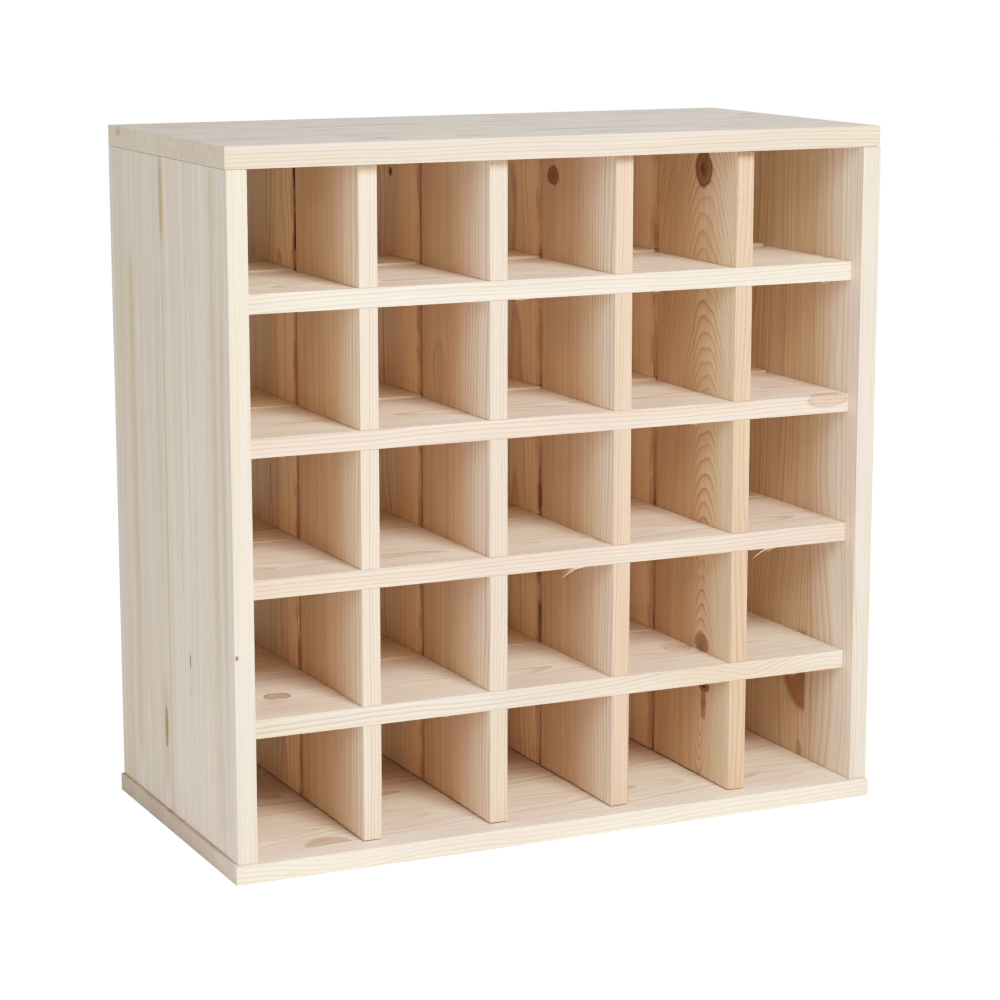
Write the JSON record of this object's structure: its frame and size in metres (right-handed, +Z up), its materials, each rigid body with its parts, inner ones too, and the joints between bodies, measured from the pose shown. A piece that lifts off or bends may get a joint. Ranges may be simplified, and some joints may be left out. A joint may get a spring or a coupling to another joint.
{
  "type": "wine rack",
  "caption": "Free-standing square pine wine rack: an open box of glued-up boards with two egg-crate grids of halved shelves and dividers, one behind the other, for bottles lying down.",
  "frame": {"origin": "bottom centre of the rack's bounding box, on the floor", "axes": "+X to the right seen from the front, +Y towards the back, +Z up; the open front faces -Y"},
  "size_m": [0.604, 0.304, 0.6],
  "materials": {
    "carcass_pine": "planed untreated edge-glued pine boards, matt",
    "shelf_pine": "planed untreated pine planks, matt",
    "divider_pine": "planed untreated pine planks with knots, matt",
    "beech_dowel": "plain beech dowel, chamfered ends",
    "zinc_screw": "zinc-plated steel wood screw"
  },
  "bodies": {
    "root": {"base_board": "carcass_pine", "top_board": "carcass_pine", "left_side_panel": "carcass_pine", "right_side_panel": "carcass_pine", "front_shelf_1": "shelf_pine", "front_shelf_2": "shelf_pine", "front_shelf_3": "shelf_pine", "front_shelf_4": "shelf_pine", "front_divider_1": "divider_pine", "front_divider_2": "divider_pine", "front_divider_3": "divider_pine", "front_divider_4": "divider_pine", "rear_shelf_1": "shelf_pine", "rear_shelf_2": "shelf_pine", "rear_shelf_3": "shelf_pine", "rear_shelf_4": "shelf_pine", "rear_divider_1": "divider_pine", "rear_divider_2": "divider_pine", "rear_divider_3": "divider_pine", "rear_divider_4": "divider_pine", "left_top_dowel_1": "beech_dowel", "left_top_dowel_2": "beech_dowel", "left_top_dowel_3": "beech_dowel", "right_top_dowel_1": "beech_dowel", "right_top_dowel_2": "beech_dowel", "right_top_dowel_3": "beech_dowel", "left_front_shelf_dowel_1": "beech_dowel", "left_front_shelf_dowel_2": "beech_dowel", "left_front_shelf_dowel_3": "beech_dowel", "left_front_shelf_dowel_4": "beech_dowel", "right_front_shelf_dowel_1": "beech_dowel", "right_front_shelf_dowel_2": "beech_dowel", "right_front_shelf_dowel_3": "beech_dowel", "right_front_shelf_dowel_4": "beech_dowel", "left_rear_shelf_dowel_1": "beech_dowel", "left_rear_shelf_dowel_2": "beech_dowel", "left_rear_shelf_dowel_3": "beech_dowel", "left_rear_shelf_dowel_4": "beech_dowel", "right_rear_shelf_dowel_1": "beech_dowel", "right_rear_shelf_dowel_2": "beech_dowel", "right_rear_shelf_dowel_3": "beech_dowel", "right_rear_shelf_dowel_4": "beech_dowel", "left_base_screw_1": "zinc_screw", "left_base_screw_2": "zinc_screw", "left_base_screw_3": "zinc_screw", "right_base_screw_1": "zinc_screw", "right_base_screw_2": "zinc_screw", "right_base_screw_3": "zinc_screw"}
  },
  "joints": []
}
